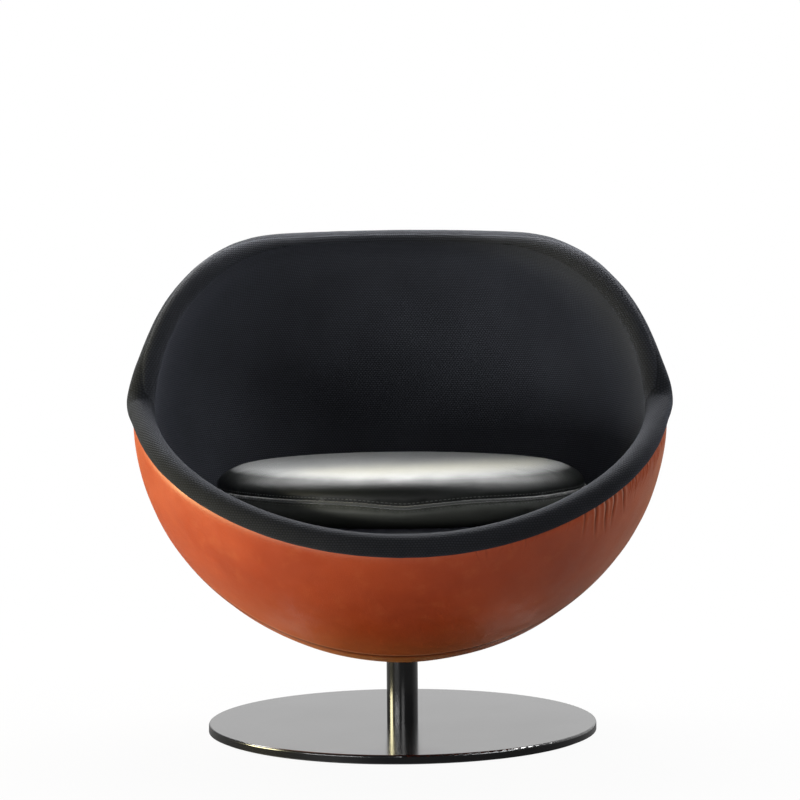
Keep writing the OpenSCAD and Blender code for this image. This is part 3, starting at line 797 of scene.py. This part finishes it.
def leather_sheet(name, turn, top, low, rows, closed, front):
    """A leather panel between two leans, with its gathers, its drawn-in edges and its seam."""
    reach = arc_from_lean(top) - arc_from_lean(low)
    s = arc_from_lean(top)[None] - reach[None] * rows[:, None]
    lean = lean_from_arc(s)
    down = arc_from_lean(edge_lean(turn, 0, LEATHER_DROP))[None] - s
    point, normal = surface(turn[None] + 0 * lean, lean, 0)
    length = along_mouth(turn)[None] + 0 * lean
    below = np.maximum(down, 0)
    folds = fold_height(length, below, FOLDS)
    folds = folds + fold_height(length - ROUND_MOUTH, below, LIP_FOLDS)
    seam = np.abs(seam_distance(point, normal))
    x, y, z = point[..., 0], point[..., 1], point[..., 2]
    soft = 0.0009 * wave(21, x * 14, y * 14, z * 14) * np.clip(down / 0.05, 0, 1)
    soft = soft * np.clip(seam / 0.04, 0, 1)
    tuck = -0.0036 * np.exp(-((below / 0.0065) ** 1.4))
    pucker = 0.00018 * wave(23, x * 300, y * 300, z * 300, octaves=1) * np.exp(-seam / 0.01)
    if front:
        over = np.clip(1 - seam / 0.0030, 0, 1)
        edge = 0.0007 * bell(seam / 0.012) - 0.0034 * (1 - np.sqrt(1 - over**2))
        # Painted highlight on the ridge beside the seam, and painted shade in the seam's groove
        painted_seam_shading = 0.6 * bell((seam - 0.005) / 0.004) - 1.6 * bell(seam / 0.0020)
    else:
        edge = -0.0022 * np.exp(-((seam / 0.005) ** 1.5))
        edge = edge + 0.0008 * bell((seam - 0.016) / 0.008)
        # Painted shade in a band behind the seam
        painted_seam_shading = -1.7 * bell(seam / 0.0095)
    lift = folds * np.clip(seam / 0.02, 0, 1) + soft + tuck + edge + pucker
    point = point + lift[..., None] * normal
    # Painted light and shade for the material: darker in the folds' creases and at the seam, paler
    # on the folds' crests and beside the seam
    shade = np.clip(folds / 0.0022 + painted_seam_shading, -1, 1)
    return grid_object(name, point, closed=closed, flip=True, shade=shade)


def make_leather():

    def by_edges(t):
        return 1 + 3.2 * np.exp(-t / 0.12) + 7 * np.exp(-(1 - t) / 0.02)

    def by_seam(t):
        return 1 + 5 * np.exp(-t / 0.03) + 1.5 * np.exp(-(1 - t) / 0.03)

    def by_folds(t):
        return 1 + 1.6 * ((t > 0.05) & (t < 2.0))

    def past_post(lean):
        return outline(lean, 0)[0] > POST_HOLE_R

    # The front panel ends where the seam runs up into the rim
    probe = np.linspace(2.2, 2.9, 2001)
    top = edge_lean(probe, 0, LEATHER_DROP)
    height = arc_from_lean(top) - arc_from_lean(seam_lean(probe, top))
    last = probe[np.nonzero(height > 0.0015)[0][-1]]
    turn = spaced(-last, last, by_folds, 1060)
    top = edge_lean(turn, 0, LEATHER_DROP)
    rows = spaced(0, 1, by_edges, 104)
    low = seam_lean(turn, top)
    panel = leather_sheet("front_leather", turn, top, low, rows, False, True)
    turn = np.arange(640) / 640 * 2 * math.pi
    top = edge_lean(turn, 0, LEATHER_DROP)
    low = solve(np.full_like(turn, -1.57), np.full_like(turn, -1.0), past_post)
    rows = spaced(0, 1, by_seam, 96)
    back = leather_sheet("rear_leather", turn, seam_lean(turn, top), low, rows, True, False)
    return panel, back


front_leather, rear_leather = make_leather()
FRONT_NODES = ("leather_front", "outer_padding")
dress(front_leather, OUTER_LEATHER, "seat", "outer_leather", 0.75, FRONT_NODES)
dress(rear_leather, OUTER_LEATHER, "seat", "outer_leather", 0.75, ("leather_rear",))


# Cushion
SEAM_DRAW = 0.004
# The cover starts a little small, and the pressure of its filling stretches it
SLACK = 0.994


def border(a):
    """Radius and height of the cushion's outline at the angle a above its seam."""
    out = CUSHION_R * np.cos(a) ** BORDER_POWER
    z = np.where(a >= 0, CUSHION_UP, -CUSHION_DOWN) * np.abs(np.sin(a)) ** FACE_POWER
    crown = np.where(a > 0, CUSHION_CROWN * (1 - (out / CUSHION_R) ** 2) ** 2, 0)
    # The lower half bulges a little below the seam, where the filling has settled
    bulge = np.where(a < 0, 0.0050 * bell((z + 0.017) / 0.009), 0)
    return np.maximum(out + bulge - SEAM_DRAW * bell(z / 0.006), 0), z + crown


def seam_dip(x, y):
    """How far the cushion's seam sags, most at the middle of its front."""
    front = np.clip(-y / CUSHION_R, 0, 1) ** 2
    sag = -0.0075 * np.clip(1 - np.abs(x) / 0.16, 0, 1) ** 1.2 - 0.0012 * np.cos(x * 34)
    return front * sag + 0.0006 * wave(31, x * 20, y * 20)


def make_cushion():
    """The cushion's cover before its filling, with its seam's points and the quads of each half."""
    n = 116
    t = np.linspace(-1, 1, n + 1)
    u, v = np.meshgrid(t, t, indexing="ij")
    # Square to disc: rings of the grid become circles
    ring = np.maximum(np.abs(u), np.abs(v))
    swap = np.abs(v) > np.abs(u)
    safe = np.where(ring > 0, ring, 1)
    by_v = np.sign(v) * (math.pi / 2) - math.pi / 4 * u / np.where(swap, v, 1)
    by_u = math.pi / 4 * v / np.where(swap | (u == 0), 1, u) + np.where(u < 0, math.pi, 0)
    angle = np.where(ring > 0, np.where(swap, by_v, by_u), 0)
    x, y = ring * np.cos(angle), ring * np.sin(angle)
    # Each ring sits at an even distance along the outline from the seam
    a = np.linspace(0, math.pi / 2, 400)
    points = []
    for side in (1, -1):
        out, z = border(side * a)
        way = np.concatenate([[0], np.cumsum(np.hypot(np.diff(out), np.diff(z)))])
        share = (1 - ring) * way[-1]
        radius = np.interp(share, way, out)
        height = np.interp(share, way, z)
        px, py = radius * x / safe, radius * y / safe
        pz = height + bell(height / 0.02) * seam_dip(px, py)
        points.append(np.stack([px, py, pz], -1).reshape(-1, 3))
    top, bottom = points
    size = (n + 1) ** 2
    edge = (ring > 1 - 1e-9).ravel()
    # Both halves share the seam's points
    low_index = np.arange(size)
    low_index[~edge] = size + np.arange((~edge).sum())
    coords = np.concatenate([top, bottom[~edge]])
    coords *= SLACK
    quads_low = grid_faces(n + 1, n + 1, False, False)
    quads_top = quads_low[:, ::-1]
    quads_low = low_index[quads_low]
    made = to_object("cushion_sim", coords, quads_top.tolist() + quads_low.tolist())
    return made, edge, quads_top, quads_low


def simulate(piece, pinned, cap):
    """Points of a closed piece inflated as cloth, none moved further than cap."""
    start = np.array([v.co for v in piece.data.vertices])
    group = piece.vertex_groups.new(name="pin")
    for weight in np.unique(pinned):
        if weight > 0:
            group.add(np.nonzero(pinned == weight)[0].tolist(), float(weight), "REPLACE")
    cloth = piece.modifiers.new("cloth", "CLOTH")
    settings = cloth.settings
    settings.quality = 6
    settings.mass = 0.25
    settings.tension_stiffness = settings.compression_stiffness = 18
    settings.shear_stiffness = 9
    settings.bending_stiffness = 0.6
    settings.vertex_group_mass = "pin"
    settings.use_pressure = True
    settings.uniform_pressure_force = 4.0
    settings.effector_weights.gravity = 0
    cloth.collision_settings.use_collision = False
    cloth.point_cache.frame_start, cloth.point_cache.frame_end = 1, 20
    for number in range(1, 21):
        scene.frame_set(number)
    seen = piece.evaluated_get(bpy.context.evaluated_depsgraph_get())
    points = np.array([v.co for v in seen.data.vertices])
    piece.modifiers.remove(cloth)
    scene.frame_set(1)
    moved = points - start
    far = np.linalg.norm(moved, axis=1, keepdims=True)
    return start + moved * np.minimum(1, cap / np.maximum(far, 1e-9))


def zip_hold(points):
    """1 at the zip's place on the cushion's back, falling to 0 away from it."""
    angle = np.degrees(np.abs(np.arctan2(points[:, 0], points[:, 1])))
    return np.clip((56 - angle) / 8, 0, 1) * np.exp(-(((points[:, 2] + ZIP_DROP) / 0.016) ** 4))


def finish_cushion():
    sim, edge, quads_top, quads_low = make_cushion()
    base = np.array([v.co for v in sim.data.vertices])
    pinned = np.zeros(len(base))
    pinned[: len(edge)][edge] = 1.0
    out = np.hypot(base[:, 0], base[:, 1])
    resting = (base[:, 2] < -CUSHION_DOWN + 0.003) & (out < 0.2)
    pinned = np.maximum(pinned, np.where(resting, 0.4, 0))
    cap = np.where(base[:, 2] > 0.0, 0.0009, 0.0040)[:, None]
    swollen = simulate(sim, pinned, cap)
    bpy.data.objects.remove(sim)
    hold = zip_hold(base)[:, None]
    points = swollen * (1 - hold) + base / SLACK * hold
    points[:, 2] = np.maximum(points[:, 2], -CUSHION_DOWN + 0.0002)
    # Small puckers at the stitches, and slight hollows in the top where it is sat on
    angle = np.arctan2(points[:, 1], points[:, 0])
    away = np.abs(points[:, 2] - seam_dip(points[:, 0], points[:, 1]))
    by_seam = bell(away / 0.009) * (out > 0.25) * (1 - hold[:, 0])
    pucker = by_seam * wave(41, angle * 55, away * 90, octaves=2)
    points[:, :2] *= 1 + (0.0008 * pucker / CUSHION_R)[:, None]
    hollow = np.clip(1 - (out / 0.24) ** 2, 0, 1) * (points[:, 2] > 0.02)
    dents = wave(43, points[:, 0] * 12, points[:, 1] * 12, octaves=2)
    points[:, 2] += hollow * 0.0012 * (dents - 1)
    # The puckers are painted as well: darker in their dips as painted shade, paler on their rises
    # as painted highlight
    shade = np.clip(0.7 * pucker, -1, 1)
    pieces = []
    for name, quads in (("cushion_upper", quads_top), ("cushion_lower", quads_low)):
        used, inverse = np.unique(quads, return_inverse=True)
        made = to_object(name, points[used], inverse.reshape(-1, 4).tolist())
        put_values(made, "shade", shade[used])
        smooth = made.modifiers.new("smooth", "SUBSURF")
        smooth.levels = smooth.render_levels = 1
        smooth.boundary_smooth = "PRESERVE_CORNERS"
        bpy.context.view_layer.objects.active = made
        made.select_set(True)
        bpy.ops.object.modifier_apply(modifier="smooth")
        made.select_set(False)
        # Faces turned upwards get the painted highlight and the sheen
        facing = np.zeros(3 * len(made.data.vertices), np.float32)
        made.data.vertex_normals.foreach_get("vector", facing)
        put_values(made, "top_sheen_and_painted_light", smoothstep((facing[2::3] - 0.90) / 0.09))
        pieces.append(made)
    ids = np.nonzero(edge)[0]
    order = np.argsort(np.arctan2(base[ids, 1], base[ids, 0]))
    return pieces, points[ids[order]]


def dress_cushion(piece, material, slot, *rest):
    """Puts a piece made in the cushion's own frame in its place, and dresses it."""
    piece.matrix_world = CUSHION_FRAME
    dress(piece, material, "cushion", slot, *rest)


halves, seam_ring = finish_cushion()
cushion_sides = [
    BVHTree.FromObject(half, bpy.context.evaluated_depsgraph_get()) for half in halves
]
for half, material, nodes in zip(
    halves,
    (CUSHION_LEATHER, LOWER_LEATHER_PAINTED_LIGHT),
    (("cushion_top", "cushion_core"), ("cushion_underside",)),
):
    dress_cushion(half, material, "cushion_leather", 0.75, nodes)


def tube(name, path, radius, sides):
    """Round tube along a level loop of points, with its radius at each."""
    ahead = unit(np.roll(path, -1, 0) - np.roll(path, 1, 0))
    out = unit(np.cross(ahead, [0, 0, 1.0]))
    top = unit(np.cross(out, ahead))
    angle = np.arange(sides)[:, None] / sides * 2 * math.pi
    round_it = np.cos(angle) * out[:, None] + np.sin(angle) * top[:, None]
    points = path[:, None] + radius[:, None, None] * round_it
    faces = grid_faces(len(path) + 1, sides, True, False) % (len(path) * sides)
    return to_object(name, points.reshape(-1, 3), faces.tolist())


def resample(path, count):
    """Points at even steps along a loop, and its length."""
    loop = np.concatenate([path, path[:1]])
    way = length_to(loop)
    at = np.linspace(0, way[-1], count, endpoint=False)
    return np.stack([np.interp(at, way, loop[:, k]) for k in range(3)], -1), way[-1]


def make_piping(points=900, radius=0.0024, proud=0.0026, pitch=0.0072):
    path, length = resample(seam_ring, points)
    path = path + proud * unit(path * [1, 1, 0])
    ripple = 0.06 * np.sin(np.arange(points) / points * length / pitch * 2 * math.pi)
    made = tube("cushion_piping", path, radius * (1 + ripple), 12)
    put_values(made, "shade", np.zeros(len(made.data.vertices)))
    # The whole piping gets the painted highlight and the sheen
    put_values(made, "top_sheen_and_painted_light", np.ones(len(made.data.vertices)))
    return made


dress_cushion(make_piping(), CUSHION_LEATHER, "cushion_leather", 0.9, ("cushion_welt",))


def on_cushion(angle, height):
    """Point and normal of the cushion's side at an angle round it and a height above its seam."""
    direction = Vector((math.cos(angle), math.sin(angle), 0))
    start = direction * 0.34 + Vector((0, 0, height))
    hits = [side.ray_cast(start, -direction) for side in cushion_sides]
    hits = [h for h in hits if h[0] is not None]
    best = min(hits, key=lambda h: h[3])
    normal = best[1] if best[1].dot(direction) > 0 else -best[1]
    return best[0], normal


def make_stitches(name, offset, pitch=0.0068, length=0.0046, thick=0.00035):
    """A row of stitches along the cushion's seam, offset above or below it."""
    rings, sides = 5, 6
    count = int(2 * math.pi * CUSHION_R / pitch)
    points, faces = [], []
    for k in range(count):
        ends = []
        for side in (-0.5, 0, 0.5):
            a = k / count * 2 * math.pi + side * length / CUSHION_R
            x, y = CUSHION_R * math.cos(a), CUSHION_R * math.sin(a)
            point, normal = on_cushion(a, offset + float(seam_dip(np.array(x), np.array(y))))
            ends.append((np.array(point), np.array(normal)))
        (p0, n0), (p1, n1), (p2, n2) = ends
        wide = unit(np.cross(unit(p2 - p0), n1))
        first = len(points)
        between = [((p0 + p1) / 2, n1), (p1, n1), ((p1 + p2) / 2, n1)]
        # Both ends of a stitch are thin and dive into the leather
        for size, rise, (point, normal) in zip(
            (0.45, 1.0, 1.0, 1.0, 0.45),
            (-0.4, 0.75, 0.75, 0.75, -0.4),
            [(p0, n0)] + between + [(p2, n2)],
        ):
            centre = point + normal * (thick * rise)
            for j in range(sides):
                b = j / sides * 2 * math.pi
                bend = math.cos(b) * wide * 1.3 + math.sin(b) * normal
                points.append(centre + thick * size * bend)
        faces += (first + grid_faces(rings, sides, True, False)).tolist()
        faces.append(tuple(first + j for j in reversed(range(sides))))
        faces.append(tuple(first + (rings - 1) * sides + j for j in range(sides)))
    return to_object(name, points, faces)


for name, offset in (("stitches_above", 0.0062), ("stitches_below", -0.0062)):
    dress_cushion(make_stitches(name, offset), THREAD, "cushion_leather")


ZIP_HALF = math.radians(44)
TEETH_HALF = ZIP_HALF * 0.985
TAPE_HALF_W = 0.007
TOOTH = (0.00055, 0.0014, 0.0006)


def make_zip():
    """Zip tape with its two rows of teeth along the back of the cushion's lower border."""
    cols, rows, teeth = 160, 9, 290
    angles = math.pi / 2 + np.linspace(-ZIP_HALF, ZIP_HALF, cols)
    heights = -ZIP_DROP + np.linspace(-TAPE_HALF_W, TAPE_HALF_W, rows)
    grid = np.zeros((rows, cols, 3))
    for i, height in enumerate(heights):
        for j, angle in enumerate(angles):
            out = 0.0008 if 0 < i < rows - 1 else 0.0001
            if abs(height + ZIP_DROP) < 0.0012:
                out = 0.0012
            point, normal = on_cushion(angle, height)
            grid[i, j] = np.array(point) + out * np.array(normal)
    tape = grid_object("zip_band", grid)
    points, faces = [], []
    block = ((0, 1, 3, 2), (4, 6, 7, 5), (0, 4, 5, 1), (2, 3, 7, 6), (0, 2, 6, 4), (1, 5, 7, 3))
    for k in range(teeth):
        angle = math.pi / 2 - TEETH_HALF + 2 * TEETH_HALF * k / (teeth - 1)
        for side in (1, -1):
            at = angle + side * 0.0005 / CUSHION_R
            low, normal = on_cushion(at, -ZIP_DROP + side * 0.0012)
            normal = np.array(normal)
            centre = np.array(low) + 0.0013 * normal
            along = np.array([-math.sin(at), math.cos(at), 0])
            up = unit(np.cross(normal, along))
            faces += [tuple(len(points) + i for i in face) for face in block]
            for dx, dy, dz in itertools.product((-1, 1), repeat=3):
                corner = centre + dx * TOOTH[0] * along + dy * TOOTH[1] * up
                points.append(corner + dz * TOOTH[2] * normal)
    return tape, to_object("zip_teeth", points, faces, smooth=False)


zip_band, zip_teeth = make_zip()
dress_cushion(zip_band, ZIP_FABRIC, "zip_fabric", None, ("zip_tape",))
dress_cushion(zip_teeth, ZIP_METAL, "zip_metal")


# Felt under the plate
def make_felt(radius=0.294, thick=0.0029):
    cols = 240
    turn = np.arange(cols) / cols * 2 * math.pi
    ragged = radius + 0.0003 * wave(51, np.cos(turn) * 40, np.sin(turn) * 40)
    share = np.array([0.02, 0.7, 0.995, 1.0, 1.0, 0.996, 0.7, 0.02])[:, None]
    high = np.array([0, 0, 0, 0.0005, thick - 0.0005, thick, thick, thick])[:, None]
    reach = share * ragged
    grid = [reach * np.cos(turn), reach * np.sin(turn), high + 0 * turn]
    made = grid_object("felt_pad", np.stack(grid, -1), closed=True)
    mesh = bmesh.new()
    mesh.from_mesh(made.data)
    bmesh.ops.holes_fill(mesh, edges=[e for e in mesh.edges if e.is_boundary])
    bmesh.ops.recalc_face_normals(mesh, faces=mesh.faces)
    mesh.to_mesh(made.data)
    mesh.free()
    return made


dress(make_felt(), FELT, "base", "felt", None, ("floor_pad",))


# Stage
AMBIENT = 0.16
FLOOR_REACH = 90
FLOOR_GREY = (0.38, 0.38, 0.38, 1)


def make_floor():
    far = FLOOR_REACH
    corners = [(-far, -far, 0), (far, -far, 0), (far, far, 0), (-far, far, 0)]
    floor = to_object("floor", corners, [(0, 1, 2, 3)], smooth=False)
    floor.location.z = -0.0003
    material = bpy.data.materials.new("floor")
    n = Tree(material)
    n.tree.nodes.clear()
    path = n.add("ShaderNodeLightPath").outputs
    place = n.place()
    x, y, _ = n.split(place)
    # The camera's side of the studio is dark, so what mirrors the floor in front sees it dim
    near = n.math("MULTIPLY", n.spread(y, 0.1, 0.4, -0.2, 0.8), n.spread(x, 0.2, 1.0, -1.2, -0.2))
    glow = n.add("ShaderNodeEmission", Strength=n.math("MAXIMUM", path["Is Camera Ray"], near))
    # Near the chair the floor shows its shadow, and further off it is the white of the backdrop
    reach = n.add("ShaderNodeVectorMath", operation="LENGTH")
    n.put(reach.inputs[0], place)
    fade = n.ramp(reach.outputs["Value"], 0.35, 1.6, 0.95, 1.0)
    show = n.math("MAXIMUM", path["Is Camera Ray"], path["Is Glossy Ray"])
    mix = n.add("ShaderNodeMixShader", Fac=n.math("MULTIPLY", show, fade))
    n.put(mix.inputs[1], n.add("ShaderNodeBsdfDiffuse", Color=FLOOR_GREY).outputs[0])
    n.put(mix.inputs[2], glow.outputs[0])
    n.add("ShaderNodeOutputMaterial", Surface=mix.outputs[0])
    floor.data.materials.append(material)


def make_world():
    """A white backdrop behind the chair under a dim ceiling, dark on the camera's side.

    It is dim at the left and beyond the right, and rays for soft light get less of it.
    """
    scene.world = bpy.data.worlds.new("studio")
    n = Tree(scene.world)
    n.tree.nodes.clear()
    path = n.add("ShaderNodeLightPath").outputs
    x, y, z = n.split(n.place("Generated"))
    ceiling = n.ramp(z, 0.25, 0.6, 1.0, 0.3)
    sides = n.math("ADD", n.ramp(x, -0.45, 0.0, 0.2, 1.0), n.ramp(x, 0.2, 0.6, 0.0, -0.5))
    backdrop = n.math("MULTIPLY", n.ramp(y, -0.5, 0.3, 0.06, 1.0), sides)
    shown = n.math("MAXIMUM", path["Is Camera Ray"], path["Is Transmission Ray"])
    mirrored = n.math("MULTIPLY", path["Is Glossy Ray"], n.math("MULTIPLY", ceiling, backdrop))
    soft = n.math("MULTIPLY", ceiling, AMBIENT)
    strength = n.math("MAXIMUM", n.math("MAXIMUM", shown, mirrored), soft)
    back = n.add("ShaderNodeBackground", Strength=strength)
    n.add("ShaderNodeOutputWorld", Surface=back.outputs[0])


make_floor()
make_world()


def lamp(name, at, target, width, height, watts, colour=(1, 1, 1)):
    light = bpy.data.lights.new(name, "AREA")
    light.shape = "RECTANGLE"
    light.size, light.size_y = width, height
    light.energy = watts
    light.color = colour
    made = add_object(name, light)
    made.location = at
    made.rotation_euler = (Vector(target) - Vector(at)).to_track_quat("-Z", "Y").to_euler()


lamp("key", (-4.0, 0.0, 0.65), (0, 0, 0.4), 1.6, 1.4, 185, (1.0, 0.91, 0.55))
lamp("top", (0.0, 1.6, 2.3), (0, 0, 0.45), 3.8, 1.0, 235)
lamp("right", (2.0, -0.2, 2.5), (0, 0, 0.4), 0.8, 1.6, 26, (0.96, 0.98, 1.0))
lamp("front", (0.2, -3.6, 1.1), (0, 0, 0.4), 1.2, 0.8, 16)
lamp("low", (-2.2, -2.4, 0.2), (0, 0, 0.45), 2.0, 0.4, 40)

# Camera, fitted to the photograph's perspective
EYE = Vector((-0.0952, -6.9994, 1.236))
PITCH, BANK = math.radians(5.886), math.radians(-0.467)
camera = add_object("camera", bpy.data.cameras.new("camera"))
camera.data.lens = 205.875
camera.data.sensor_width = 36
camera.data.clip_end = 300
ahead = Vector((-EYE.x, -EYE.y, 0)).normalized()
view = ahead * math.cos(PITCH) - Vector((0, 0, 1)) * math.sin(PITCH)
facing = view.to_track_quat("-Z", "Y").to_matrix().to_4x4()
camera.matrix_world = Matrix.Translation(EYE) @ facing @ Matrix.Rotation(BANK, 4, "Z")
scene.camera = camera
scene.view_settings.view_transform = "Standard"
